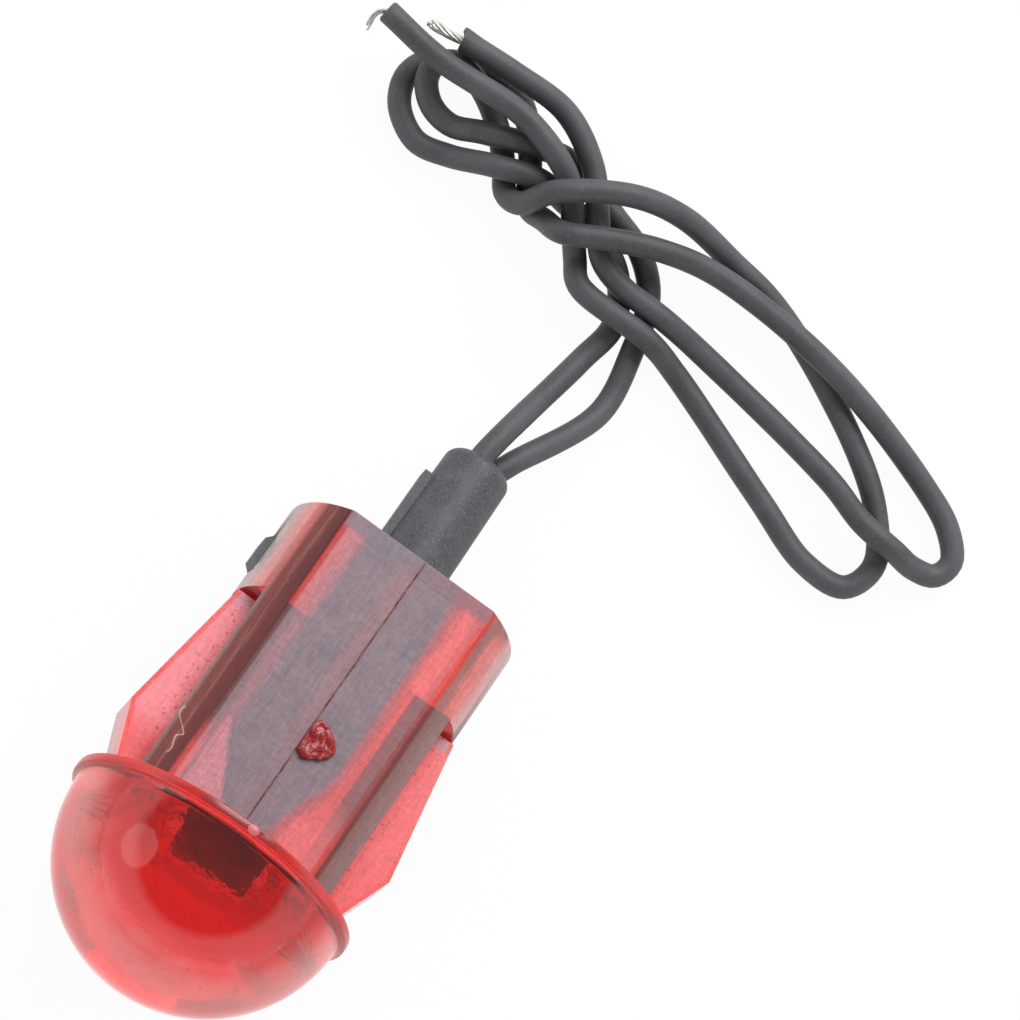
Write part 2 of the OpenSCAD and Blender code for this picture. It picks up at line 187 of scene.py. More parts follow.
def turned(profile, steps=96):
    """A profile of (radius, y) turned round the y axis: x = r sin a, z = r cos a. Ends are on the axis."""
    profile = np.asarray(profile, float)
    a = np.linspace(0, 2 * math.pi, steps, endpoint=False)
    inner = profile[1:-1]
    ring = np.stack([inner[:, :1] * np.sin(a), np.repeat(inner[:, 1:], steps, axis=1),
                     inner[:, :1] * np.cos(a)], axis=-1)
    verts = np.concatenate([[[0, profile[0, 1], 0]], ring.reshape(-1, 3), [[0, profile[-1, 1], 0]]])
    faces = (grid_faces(len(inner), steps, True) + 1).tolist()
    last = len(verts) - 1
    nxt = (np.arange(steps) + 1) % steps
    faces += [[0, int(nxt[j]) + 1, j + 1] for j in range(steps)]
    base = 1 + (len(inner) - 1) * steps
    faces += [[last, base + j, base + int(nxt[j])] for j in range(steps)]
    return verts, faces


def arc(cx, cy, radius, start, end, steps):
    """Points on an arc from start to end, in degrees."""
    a = np.radians(np.linspace(start, end, steps))
    return np.stack([cx + radius * np.cos(a), cy + radius * np.sin(a)], axis=-1)


def block(low, high):
    """A box between two opposite corners."""
    corners = [(low[0], low[1]), (high[0], low[1]), (high[0], high[1]), (low[0], high[1])]
    return lofted(np.array([[(x, y, z) for x, y in corners] for z in (low[2], high[2])], float))


def linked(name, data):
    """A new object for a mesh or a light, at the origin, in the scene."""
    piece = bpy.data.objects.new(name, data)
    bpy.context.scene.collection.objects.link(piece)
    return piece


def make_object(name, verts, faces, placed=True):
    """A mesh object at the origin, with its place in its mesh and its faces outwards."""
    points = to_rest(verts) if placed else np.asarray(verts, float)
    mesh = bpy.data.meshes.new(name)
    mesh.from_pydata(points.tolist(), [], faces)
    work = bmesh.new()
    work.from_mesh(mesh)
    bmesh.ops.recalc_face_normals(work, faces=work.faces)
    work.to_mesh(mesh)
    work.free()
    return linked(name, mesh)


def apply_modifiers(piece):
    """Puts what the modifiers make into the piece's own mesh."""
    depsgraph = bpy.context.evaluated_depsgraph_get()
    made = bpy.data.meshes.new_from_object(piece.evaluated_get(depsgraph))
    piece.modifiers.clear()
    old = piece.data
    piece.data = made
    bpy.data.meshes.remove(old)


def combine(piece, tool, operation):
    """Joins the tool to the piece or cuts it away, and removes the tool."""
    modifier = piece.modifiers.new(operation, "BOOLEAN")
    modifier.operation = operation
    modifier.solver = "EXACT"
    modifier.object = tool
    apply_modifiers(piece)
    mesh = tool.data
    bpy.data.objects.remove(tool)
    bpy.data.meshes.remove(mesh)


def make_whole(piece, reach=0.000004, angle=0.5):
    """Merges the doubles that cuts leave within reach, in metres, joins the faces that lie flatter to each
    other than the angle, in degrees, and fills small holes."""
    work = bmesh.new()
    work.from_mesh(piece.data)
    bmesh.ops.remove_doubles(work, verts=work.verts, dist=reach)
    bmesh.ops.dissolve_degenerate(work, dist=reach, edges=work.edges)
    if angle:
        bmesh.ops.dissolve_limit(work, angle_limit=math.radians(angle), verts=work.verts, edges=work.edges)
    bmesh.ops.holes_fill(work, edges=[edge for edge in work.edges if edge.is_boundary], sides=6)
    work.to_mesh(piece.data)
    work.free()


def finish_edges(piece, width, segments=2, angle=28.0):
    """Rounds the edges sharper than the angle, in degrees, by the width, in millimetres."""
    bevel = piece.modifiers.new("edges", "BEVEL")
    bevel.width = width * MM
    bevel.segments = segments
    bevel.limit_method = "ANGLE"
    bevel.angle_limit = math.radians(angle)
    bevel.use_clamp_overlap = True
    apply_modifiers(piece)
    piece.data.shade_smooth()
    keep_flat(piece)


def keep_flat(piece):
    """Lets the large faces keep their own direction beside the rounded edges."""
    weighted = piece.modifiers.new("normals", "WEIGHTED_NORMAL")
    weighted.weight = 80
    weighted.keep_sharp = True
    apply_modifiers(piece)


def rounded_copy(node, name, width):
    """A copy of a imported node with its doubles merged, its flat faces made whole and its edges rounded."""
    work = bmesh.new()
    work.from_mesh(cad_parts[node].data)
    bmesh.ops.remove_doubles(work, verts=work.verts, dist=0.000002)
    bmesh.ops.dissolve_limit(work, angle_limit=math.radians(1.0), verts=work.verts, edges=work.edges)
    bmesh.ops.recalc_face_normals(work, faces=work.faces)
    mesh = bpy.data.meshes.new(name)
    work.to_mesh(mesh)
    work.free()
    piece = linked(name, mesh)
    finish_edges(piece, width, segments=3, angle=33.0)
    return piece


def lengths_along(path):
    """How far along a path each of its points lies."""
    return np.concatenate([[0.0], np.cumsum(np.linalg.norm(np.diff(path, axis=0), axis=1))])


def smooth_route(points, step, samples=24):
    """A centripetal spline through the points, sampled densely, then resampled to an even step along it."""
    p = np.asarray(points, float)
    q = np.vstack([2 * p[0] - p[1], p, 2 * p[-1] - p[-2]])
    t = np.concatenate([[0.0], np.cumsum(np.sqrt(np.linalg.norm(np.diff(q, axis=0), axis=1)))])
    u = np.linspace(0, 1, samples, endpoint=False)
    k = np.arange(1, len(q) - 2)[:, None]
    s = (t[k] + u * (t[k + 1] - t[k]))[..., None]

    def mix(a, b, i, j):
        share_a, share_b = (t[j] - s[..., 0]) / (t[j] - t[i]), (s[..., 0] - t[i]) / (t[j] - t[i])
        return share_a[..., None] * a + share_b[..., None] * b

    a1, a2, a3 = (mix(q[k + i - 1], q[k + i], k + i - 1, k + i) for i in range(3))
    b1 = mix(a1, a2, k - 1, k + 1)
    b2 = mix(a2, a3, k, k + 2)
    dense = np.vstack([mix(b1, b2, k, k + 1).reshape(-1, 3), p[-1:]])
    along = lengths_along(dense)
    wanted = np.linspace(0, along[-1], int(round(along[-1] / step)) + 1)
    return np.stack([np.interp(wanted, along, dense[:, c]) for c in range(3)], axis=-1)


def carried_frames(path, first=None):
    """Heading, side and up of each point of a path, carried along it so that a tube doesn't twist."""
    steps = np.diff(path, axis=0)
    steps /= np.linalg.norm(steps, axis=1, keepdims=True)
    heading = np.vstack([steps[:1], steps[:-1] + steps[1:], steps[-1:]])
    if first is not None:
        heading[0] = first
    heading /= np.linalg.norm(heading, axis=1, keepdims=True)
    side = np.cross(heading[0], (0, 0, 1))
    sides = []
    for ahead in heading:
        side = side - ahead * np.dot(side, ahead)
        side = side / np.linalg.norm(side)
        sides.append(side)
    sides = np.array(sides)
    return heading, sides, np.cross(heading, sides)


def tube(path, radius, steps, first=None):
    """The rings of a round tube along a path: p + r (cos a side + sin a up), with r per point."""
    _, side, up = carried_frames(path, first)
    a = np.linspace(0, 2 * math.pi, steps, endpoint=False)
    r = np.broadcast_to(radius, (len(path),))[:, None, None]
    return path[:, None] + r * (np.cos(a)[None, :, None] * side[:, None] + np.sin(a)[None, :, None] * up[:, None])


def tube_object(name, rings, path):
    """A closed tube object in metres, with a UV map of (turn, millimetres along)."""
    piece = make_object(name, *lofted(rings * MM), placed=False)
    steps = rings.shape[1]
    along = lengths_along(path)
    mesh = piece.data
    layer = mesh.uv_layers.new(name="UVMap")
    index = np.zeros(len(mesh.loops), int)
    mesh.loops.foreach_get("vertex_index", index)
    turn = (index % steps) / steps
    uv = np.stack([np.abs(2 * turn - 1), along[np.minimum(index // steps, len(along) - 1)]], axis=-1)
    layer.data.foreach_set("uv", uv.astype(np.float32).ravel())
    mesh.shade_smooth()
    mesh.set_sharp_from_angle(angle=math.radians(50))
    return piece


# ---------------------------------------------------------------- materials

class Surface:
    """A material whose nodes are added one call at a time."""

    def __init__(self, name):
        self.material = bpy.data.materials.new(name)
        self.material.use_nodes = True
        self.tree = self.material.node_tree
        self.tree.nodes.clear()
        self.out = self.tree.nodes.new("ShaderNodeOutputMaterial")

    def add(self, kind, settings=None, **inputs):
        """A new node with its settings and inputs; i0, i1 and so on stand for an input's place."""
        node = self.tree.nodes.new("ShaderNode" + kind)
        for key, value in (settings or {}).items():
            setattr(node, key, value)
        for key, value in inputs.items():
            self.feed(node, key.replace("_", " "), value)
        return node

    def feed(self, node, key, value):
        """Links or sets one input."""
        socket = node.inputs[int(key[1:])] if key[0] == "i" and key[1:].isdigit() else node.inputs[key]
        if isinstance(value, bpy.types.NodeSocket):
            self.tree.links.new(value, socket)
        elif isinstance(value, bpy.types.Node):
            self.tree.links.new(value.outputs[0], socket)
        else:
            socket.default_value = value

    def math(self, operation, a, b=0.0, c=0.0):
        """A number worked out from up to three others."""
        node = self.add("Math", {"operation": operation})
        for i, value in enumerate((a, b, c)):
            self.feed(node, "i%d" % i, value)
        return node.outputs[0]

    def ramp(self, value, low, high, start=0.0, end=1.0):
        """A smooth step from start to end as value goes from low to high."""
        node = self.add("MapRange", {"interpolation_type": "SMOOTHSTEP"})
        for i, v in enumerate((value, low, high, start, end)):
            self.feed(node, "i%d" % i, v)
        return node.outputs[0]

    def both(self, a, b):
        """a times b, which for two masks is where both hold."""
        return self.math("MULTIPLY", a, b)

    def plus(self, a, b):
        return self.math("ADD", a, b)

    def minus(self, a, b):
        return self.math("SUBTRACT", a, b)

    def most(self, a, b):
        return self.math("MAXIMUM", a, b)

    def scaled(self, value, factor, offset):
        """value times factor, plus offset."""
        return self.math("MULTIPLY_ADD", value, factor, offset)

    def band(self, value, low, high, soft):
        """1 from low to high, fading to 0 over the soft width on each side."""
        return self.both(self.ramp(value, low - soft, low + soft), self.ramp(value, high + soft, high - soft))

    def either(self, factor, a, b):
        """A number between a and b."""
        node = self.add("Mix")
        for i, v in enumerate((factor, a, b)):
            self.feed(node, ("i0", "i2", "i3")[i], v)
        return node.outputs[0]

    def levels(self, number, *coats):
        """A number under coats of (mask, number), each laid over the ones before it."""
        for mask, coat in coats:
            number = self.either(mask, number, coat)
        return number

    def noise(self, vector, scale, detail=3.0, roughness=0.5, stretch=(1, 1, 1)):
        """A cloudy noise from 0 to 1, finer along an axis where stretch is larger."""
        mapping = self.add("Mapping", Vector=vector, Scale=stretch)
        node = self.add("TexNoise", Vector=mapping, Scale=scale, Detail=detail, Roughness=roughness)
        return node.outputs[0]

    def blend(self, factor, a, b, kind="MIX"):
        """A colour between a and b."""
        node = self.add("Mix", {"data_type": "RGBA", "blend_type": kind})
        self.feed(node, "i0", factor)
        for i, v in ((6, a), (7, b)):
            self.feed(node, "i%d" % i, (*v, 1.0) if isinstance(v, tuple) and len(v) == 3 else v)
        return node.outputs[2]

    def coats(self, color, *coats):
        """A colour under coats of (mask, colour), each laid over the ones before it."""
        for mask, coat in coats:
            color = self.blend(mask, color, coat)
        return color

    def finish(self, height, strength, distance, **look):
        """A Principled shader with bumps from the height, put on the surface; gives the material."""
        bump = self.add("Bump", Strength=strength, Distance=distance, Height=height)
        shader = self.add("BsdfPrincipled", Normal=bump, **look)
        self.tree.links.new(shader.outputs[0], self.out.inputs["Surface"])
        return self.material


def lamp_coordinates(s):
    """Object coordinates turned back into the barrel's own frame, in millimetres."""
    tilt, height, shift = lean()
    where = s.add("TexCoord").outputs["Object"]
    moved = s.add("Mapping", Vector=where, Location=(0, -shift, -height), Scale=(1 / MM, 1 / MM, 1 / MM))
    turned_back = s.add("Mapping", Vector=moved, Rotation=(tilt, 0, 0))
    parts = s.add("SeparateXYZ", Vector=turned_back)
    return turned_back.outputs[0], parts.outputs[0], parts.outputs[1], parts.outputs[2]


class Moulding(Surface):
    """The red body's material, which knows the barrel's own x, y and z in millimetres and the skins' noises.

    The wavering xw and yw are x and y pushed to and fro by a noise, so that no band ends in a straight line.
    """

    def __init__(self, name):
        super().__init__(name)
        self.where, self.x, self.y, self.z = lamp_coordinates(self)
        self.ax, self.az = self.math("ABSOLUTE", self.x), self.math("ABSOLUTE", self.z)
        self.outer = self.plus(self.both(self.x, self.x), self.both(self.z, self.z))
        self.streak = self.noise(self.where, 1.0, 4.0, 0.65, (7.0, 0.3, 1.0))
        self.fine = self.noise(self.where, 1.0, 3.0, 0.7, (24.0, 0.8, 4.0))
        self.cross = self.noise(self.where, 1.0, 3.0, 0.7, (1.0, 16.0, 2.0))
        self.cloud = self.noise(self.where, 0.8, 3.0, 0.6)
        self.grain = self.noise(self.where, 9.0, 3.0, 0.7)
        self.speck = self.noise(self.where, 5.5, 1.0, 0.5)
        self.mottle = self.noise(self.where, 3.4, 4.0, 0.75)
        self.xw = self.plus(self.x, self.scaled(self.streak, 0.7, -0.35))
        self.yw = self.plus(self.y, self.scaled(self.cloud, 0.8, -0.4))


def flat_painted_light(s):
    """The frosted skin on the flats, in bands along the barrel.

    The bands are painted light and shade: mauve painted shade where the dark holder lies behind it, salmon painted
    light where light gets through, and dark brown painted shade over the window pockets, which end at the rear.
    """
    rear = s.ramp(s.y, *WINDOW_END)
    front = s.ramp(s.yw, 4.6, 1.4)

    def along(middle, behind, before, share=0.9):
        """A band's colour over the windows, behind them, and near the flange."""
        return s.coats(middle, (rear, behind), (s.both(front, share), before))

    slope = s.minus(s.scaled(s.yw, -0.52, -0.9), s.xw)
    wedge = s.both(s.ramp(slope, -0.12, 0.2), s.both(s.ramp(s.x, -3.45, -3.2), s.ramp(s.y, 4.6, 4.1)))
    salmon = s.minus(s.xw, s.scaled(s.ramp(s.yw, 5.4, 0.6), -1.15, 2.5))
    margin = s.minus(s.x, s.ramp(rear, 0.0, 1.0, 3.15, 3.5))
    scored = s.both(s.band(s.y, 15.1, 15.13, 0.03), s.band(s.xw, 0.1, 2.3, 0.3))
    return s.coats(
        # Mauve painted shade from the holder behind, with a warmer strip of painted light down the middle.
        s.blend(s.ramp(s.cloud, 0.3, 0.7), (0.178, 0.126, 0.153), (0.22, 0.153, 0.18)),
        (s.both(s.band(s.xw, -0.75, 0.2, 0.25), s.ramp(s.y, 2.0, 9.0, 0.35, 0.9)), (0.265, 0.138, 0.152)),
        # The left, all painted light and shade: rosy band, margin, dark edge, pale wedge by the flange, thin pale
        # line.
        (s.ramp(s.xw, -2.55, -3.2), s.blend(rear, (0.272, 0.137, 0.16), (0.43, 0.147, 0.173))),
        (s.ramp(s.x, -3.35, -3.62), along((0.182, 0.118, 0.132), (0.505, 0.135, 0.15), (0.58, 0.135, 0.153))),
        (s.ramp(s.x, -3.72, -3.88), along((0.075, 0.008, 0.008), (0.42, 0.015, 0.01), (0.49, 0.03, 0.026))),
        (wedge, (0.52, 0.188, 0.224)),
        (s.both(s.band(s.x, -3.2, -3.1, 0.05), s.ramp(s.y, 10.6, 9.8, 0.0, 0.6)), (0.425, 0.135, 0.16)),
        # The right, in painted light and shade: the salmon band with its deep start, its margin and its dark edge.
        (s.ramp(salmon, -0.45, 0.15), (0.45, 0.09, 0.1)),
        (s.ramp(salmon, 0.05, 0.5),
         along((0.56, 0.08, 0.08), (0.69, 0.118, 0.12), (0.68, 0.115, 0.125), 1.0)),
        (s.ramp(margin, -0.04, 0.06),
         along(s.blend(s.ramp(s.x, 3.35, 3.6), (0.235, 0.071, 0.08), (0.205, 0.08, 0.09)),
               (0.565, 0.098, 0.103), (0.59, 0.112, 0.127))),
        (s.ramp(s.x, 3.74, 3.86), along((0.213, 0.026, 0.026), (0.595, 0.046, 0.039), (0.55, 0.022, 0.018), 0.8)),
        # The dim end, in painted shade, and the line scored before it.
        (s.both(s.ramp(s.scaled(s.streak, 0.5, s.y), 15.2, 15.6), 0.85),
         s.blend(s.ramp(s.x, -1.0, 2.6), (0.178, 0.138, 0.165), (0.235, 0.1, 0.125))),
        (s.both(scored, 0.6), (0.06, 0.02, 0.03)))


def side_painted_light_and_fibre(s):
    """The dull skin on the round sides, in bands that slant with the windows' edge: y + 0.39 |z| is the same there.

    The bands are painted light and shade: the left side runs from dark painted shade to pale red painted light
    outwards, with a pale painted reflection at its outer edge behind the window, and the right differs over and
    behind the window's pocket, where it also ends in a pale painted reflection.
    """
    slant = s.plus(s.y, s.scaled(s.az, 0.3875, -1.84))
    rear = s.most(s.ramp(slant, *WINDOW_END), s.ramp(s.ax, 5.22, 5.32))
    # The left: painted shade inwards, painted light outwards and a pale painted reflection at the outer edge.
    left = s.coats(
        s.blend(s.ramp(s.x, -4.3, -4.9), (0.095, 0.004, 0.003), (0.182, 0.025, 0.019)),
        (s.both(s.band(s.xw, -4.75, -4.62, 0.05), 0.5), (0.32, 0.13, 0.12)),
        (s.ramp(s.x, -5.0, -5.25), s.blend(rear, (0.25, 0.172, 0.16), (0.507, 0.122, 0.112))),
        (s.both(s.ramp(s.x, -5.25, -5.6), rear), (0.655, 0.28, 0.267)),
        (s.both(s.ramp(s.x, -5.65, -6.05), rear), (0.45, 0.38, 0.38)))
    # The right: painted shade over the pocket; behind it, painted light and a pale painted reflection at the edge.
    over_pocket = s.coats(
        s.blend(s.ramp(s.x, 4.2, 4.4), (0.128, 0.012, 0.006), (0.205, 0.107, 0.095)),
        (s.ramp(s.x, 4.5, 4.9), (0.26, 0.125, 0.125)))
    behind_pocket = s.coats(
        s.blend(s.ramp(s.x, 4.1, 4.35), (0.62, 0.036, 0.016), (0.33, 0.134, 0.122)),
        (s.both(s.ramp(s.xw, 4.5, 4.8), s.ramp(slant, 15.4, 14.6)), (0.66, 0.176, 0.165)),
        (s.ramp(s.xw, 5.1, 5.6), (0.62, 0.32, 0.315)),
        (s.ramp(s.x, 5.6, 6.1), (0.5, 0.43, 0.42)))
    right = s.blend(rear, over_pocket, behind_pocket)

    # A curled fibre on the left side: x follows a step, a hook and a sine along the barrel.
    curl = s.scaled(s.ramp(slant, 2.35, 2.95), -0.47, -4.64)
    curl = s.plus(curl, s.both(s.band(slant, 2.2, 2.36, 0.16), 0.2))
    curl = s.plus(curl, s.both(s.math("SINE", s.both(slant, 5.5)), 0.07))
    away = s.math("ABSOLUTE", s.minus(s.x, curl))
    fibre = s.both(s.ramp(away, 0.055, 0.02), s.band(slant, 1.15, 3.4, 0.05))
    return s.coats(left, (s.ramp(s.x, -0.1, 0.1), right), (s.both(fibre, 0.75), (0.62, 0.45, 0.36)))


def wing_painted_light(s, edge):
    """The wings' clear, frosted skin in painted light, with painted shade and specks at the root, and a polished edge.
    """
    return s.coats(
        s.blend(s.ramp(s.x, -1.0, 1.0), (0.92, 0.33, 0.384), (0.85, 0.165, 0.182)),
        (s.ramp(s.yw, 3.8, 1.6), (0.88, 0.135, 0.15)),
        (s.ramp(s.yw, 9.7, 10.2), (0.66, 0.36, 0.43)),
        (s.both(s.ramp(s.speck, 0.62, 0.68), s.ramp(s.ax, 6.3, 5.5)), (0.62, 0.06, 0.06)),
        (s.both(s.ramp(s.mottle, 0.56, 0.66), s.ramp(s.ax, 5.5, 5.3)), (0.35, 0.03, 0.03)),
        (edge, (0.82, 0.035, 0.03)))


def skin_marks(s):
    """How far the marks darken or brighten the skins: streaks, mottling, pits, ticks and fine scratches."""
    ticks = s.both(s.band(s.xw, -2.5, -2.15, 0.12), s.band(s.y, 7.0, 12.4, 0.3))
    ticks = s.both(ticks, s.ramp(s.cross, 0.52, 0.66))
    hair = s.noise(s.where, 1.0, 1.0, 0.4, (2.6, 0.22, 1.0))
    scratch = s.both(s.band(hair, 0.498, 0.502, 0.004), s.ramp(s.cloud, 0.45, 0.6))
    marks = 1.0
    for noise, depth in ((s.streak, 0.5), (s.fine, 0.9), (s.cross, 0.5), (s.mottle, 0.9)):
        marks = s.both(marks, s.scaled(s.minus(noise, 0.5), depth, 1.0))
    for mark, depth in ((s.ramp(s.grain, 0.62, 0.72), -0.25), (ticks, -0.45), (scratch, -0.4)):
        marks = s.both(marks, s.scaled(mark, depth, 1.0))
    return marks


def lens_plastic():
    """Translucent red moulding: polished dome, frosted flats and wings, dull round sides."""
    s = Moulding("red_lens_plastic")
    body = bpy.context.scene.lamp_body
    flat, wing, wing_root = body.across_flats / 2, body.wing_w / 2, body.cavity_w / 2 + WING_INSET
    barrel, nose = (body.barrel_d / 2) ** 2, (body.cavity_w / 2) ** 2

    # Which skin each place has; s.outer is a squared distance from the axis.
    on_flat = s.both(s.ramp(s.az, flat - 0.11, flat - 0.05), s.ramp(s.az, flat + 0.65, flat + 0.45))
    on_flat = s.both(on_flat, s.ramp(s.y, -0.04, 0.02))
    on_wing = s.both(s.ramp(s.az, wing + 0.06, wing + 0.04), s.ramp(s.ax, wing_root - 0.1, wing_root - 0.04))
    on_wing = s.both(on_wing, s.band(s.y, 0.3, body.window_len - 0.05, 0.03))
    on_side = s.both(s.ramp(s.outer, barrel - 1.44, barrel - 0.74), s.band(s.y, 0.02, body.barrel_len - 0.01, 0.02))
    on_rim = s.both(s.ramp(s.outer, barrel + 3.06, barrel + 4.06), s.band(s.y, -0.62, 0.1, 0.03))
    frost = s.most(on_flat, on_wing)
    dull = s.most(frost, on_side)
    # The lower half's skins are left pale and clear, unlike the painted light and shade above.
    under = s.ramp(s.z, 0.3, -0.6)
    # A wing's reach in x is the lower of two slopes along y, and its skin ends in a polished edge.
    reach = s.math("MINIMUM", s.scaled(s.y, -0.158, 7.82), s.scaled(s.y, 0.375, 6.06))
    wing_edge = s.ramp(s.minus(reach, s.ax), 0.3, 0.16)

    # The skins, in painted light and shade, with the parting line and the torn gate on the upper flat.
    skin = s.coats(
        (0.9, 0.16, 0.15), (on_side, side_painted_light_and_fibre(s)), (on_flat, flat_painted_light(s)), (on_wing, wing_painted_light(s, wing_edge)),
        (s.both(under, 0.9), (1.0, 0.6, 0.6)))
    parting = s.band(s.scaled(s.grain, 0.1, s.x), 0.075, 0.175, 0.025)
    parting = s.both(s.both(on_flat, s.ramp(s.z, 4.0, 4.5)), s.both(parting, s.ramp(s.cross, 0.3, 0.5, 0.6, 1.0)))
    gate = s.both(s.band(s.x, GATE[0] - 0.9, GATE[0] + 1.3, 0.1), s.band(s.y, GATE[1] - 1.32, GATE[1] + 1.38, 0.1))
    gate = s.both(gate, s.ramp(s.z, flat + 0.07, flat + 0.15))
    swirl = s.noise(s.where, 2.2, 1.5, 0.5)
    # The torn gate's pale swirl is a painted highlight, and its darker foot is painted shade.
    torn = s.blend(s.band(swirl, 0.5, 0.515, 0.025), (0.3, 0.016, 0.018), (0.55, 0.2, 0.22))
    torn = s.blend(s.ramp(s.z, flat + 0.21, flat + 0.09), torn, (0.1, 0.006, 0.006))
    skin = s.coats(s.blend(1.0, skin, skin_marks(s), "MULTIPLY"), (parting, (0.12, 0.02, 0.022)), (gate, torn))

    # The polished parts: the dome, hazy with painted light lower down and flecked, the flange's rear wall, the rim and
    # nub.
    painted_veil = s.both(s.ramp(s.scaled(s.cloud, 2.0, s.z), 6.2, 1.2), s.ramp(s.z, -2.5, -0.5))
    ball = s.plus(s.outer, s.math("POWER", s.plus(s.y, body.flange_t), 2.0))
    fleck = s.both(s.ramp(s.speck, 0.73, 0.74), s.ramp(s.z, 4.6, 4.0))
    fleck = s.both(fleck, s.both(s.ramp(s.y, -0.8, -1.2), s.ramp(ball, 50.0, 51.0)))
    wall = s.both(s.band(s.y, -0.05, 0.05, 0.02), s.both(s.ramp(s.az, 1.85, 1.9), s.ramp(s.az, 3.4, 3.3)))
    wall = s.both(wall, s.both(s.ramp(s.ax, 4.2, 4.3), s.ramp(s.z, 0.0, 0.5)))
    nub_x, nub_y = s.both(s.minus(s.x, NUB[0]), 3.3), s.both(s.minus(s.y, NUB[1]), 3.9)
    on_nub = s.both(s.ramp(s.plus(s.both(nub_x, nub_x), s.both(nub_y, nub_y)), 1.15, 0.7), s.ramp(s.z, 7.2, 7.32))
    polished = s.both(wing_edge, on_wing)

    color = s.coats(
        s.blend(painted_veil, (0.85, 1.0, 0.95), (0.96, 0.1, 0.095)), (dull, skin), (s.both(fleck, 0.8), (0.12, 0.02, 0.02)),
        (wall, (0.12, 0.025, 0.022)), (on_rim, (0.92, 0.07, 0.06)), (on_nub, (0.66, 0.17, 0.18)))
    skin_clear = s.either(frost, 0.25, s.either(on_wing, 0.12, 0.4))
    clear = s.levels(
        s.scaled(painted_veil, -0.6, 1.0), (fleck, 0.2), (dull, skin_clear), (wall, 0.2), (on_rim, 0.85), (on_nub, 0.3),
        (polished, 0.4), (s.both(under, dull), 0.88))
    rough = s.levels(
        0.05, (dull, s.scaled(s.streak, 0.12, 0.3)), (frost, s.scaled(s.streak, 0.14, 0.36)),
        (s.most(parting, polished), 0.16), (gate, 0.14), (on_rim, 0.24))

    # Fine relief on the skins, slow waves on the whole, and the drawn-in hollow of the nose.
    relief = s.scaled(s.streak, 0.5, s.scaled(s.fine, 0.3, s.both(s.cross, 0.2)))
    height = s.plus(s.both(relief, dull), s.both(s.noise(s.where, 0.55, 2.0, 0.5), 1.2))
    hollow = s.both(s.ramp(s.outer, nose + 0.91, nose + 0.11), s.band(s.y, -3.0, 0.1, 0.1))
    height = s.plus(height, s.both(s.both(s.noise(s.where, 0.9, 3.0, 0.55), 16.0), hollow))
    height = s.scaled(gate, s.both(swirl, 6.0), height)
    absorb = s.add("VolumeAbsorption", Color=(*body.glow, 1.0), Density=800.0)
    s.tree.links.new(absorb.outputs[0], s.out.inputs["Volume"])
    return s.finish(height, 0.5, 0.00003, Base_Color=color, Roughness=rough, IOR=1.58, Transmission_Weight=clear,
                    Specular_IOR_Level=0.3)


def holder_plastic():
    """Dark grey moulded plastic, faintly speckled, matt, with pale rubbed specks."""
    s = Surface("black_holder_plastic")
    where = s.add("TexCoord").outputs["Object"]
    grain = s.noise(where, 7000.0, 3.0, 0.7)
    cloud = s.noise(where, 900.0, 3.0, 0.6)
    dust = s.noise(where, 9000.0, 2.0, 0.5)
    color = s.coats(
        s.blend(s.ramp(grain, 0.3, 0.7), (0.034, 0.037, 0.042), (0.064, 0.068, 0.075)),
        (s.both(s.ramp(cloud, 0.45, 0.65), 0.4), (0.09, 0.094, 0.1)),
        (s.both(s.ramp(dust, 0.55, 0.7), 0.6), (0.13, 0.133, 0.14)))
    rough = s.scaled(grain, 0.2, s.scaled(cloud, 0.12, 0.36))
    height = s.scaled(grain, 0.7, s.both(cloud, 0.6))
    return s.finish(height, 0.6, 0.00002, Base_Color=color, Roughness=rough, IOR=1.5)


def jacket_plastic(color):
    """Soft insulation: faintly waxy, with fine lengthwise drawing marks and light scuffs along its UVs."""
    s = Surface("lead_insulation")
    uv = s.add("TexCoord").outputs["UV"]
    where = s.add("TexCoord").outputs["Object"]
    drawn = s.noise(uv, 1.0, 3.0, 0.6, (9.0, 0.35, 1.0))
    pebble = s.noise(where, 5200.0, 3.0, 0.65)
    cloud = s.noise(where, 260.0, 3.0, 0.6)
    scuff = s.noise(where, 1500.0, 4.0, 0.75)
    dark, pale, pebbled, scuffed = (tuple(share * c for c in color) for share in (0.78, 1.25, 1.9, 2.6))
    shade = s.coats(
        s.blend(s.ramp(cloud, 0.3, 0.7), dark, pale), (s.both(s.ramp(pebble, 0.5, 0.72), 0.35), pebbled),
        (s.both(s.ramp(scuff, 0.68, 0.8), 0.5), scuffed))
    rough = s.scaled(drawn, 0.16, s.scaled(cloud, 0.14, 0.4))
    height = s.scaled(pebble, 0.8, s.both(drawn, 0.5))
    return s.finish(height, 0.45, 0.00002, Base_Color=shade, Roughness=rough, IOR=1.5, Specular_IOR_Level=0.4)


def drawn_metal(name, bright, dull, roughness, scale):
    """Bare metal with duller, rougher patches and fine bumps; scale is about how many bumps a millimetre has."""
    s = Surface(name)
    where = s.add("TexCoord").outputs["Object"]
    patch = s.noise(where, scale * 150.0, 3.0, 0.6)
    grain = s.noise(where, scale * 900.0, 3.0, 0.6)
    color = s.blend(s.ramp(patch, 0.4, 0.65), bright, dull)
    rough = s.scaled(patch, 0.25, roughness - 0.1)
    return s.finish(grain, 0.4, 0.00001, Base_Color=color, Roughness=rough, Metallic=1.0)


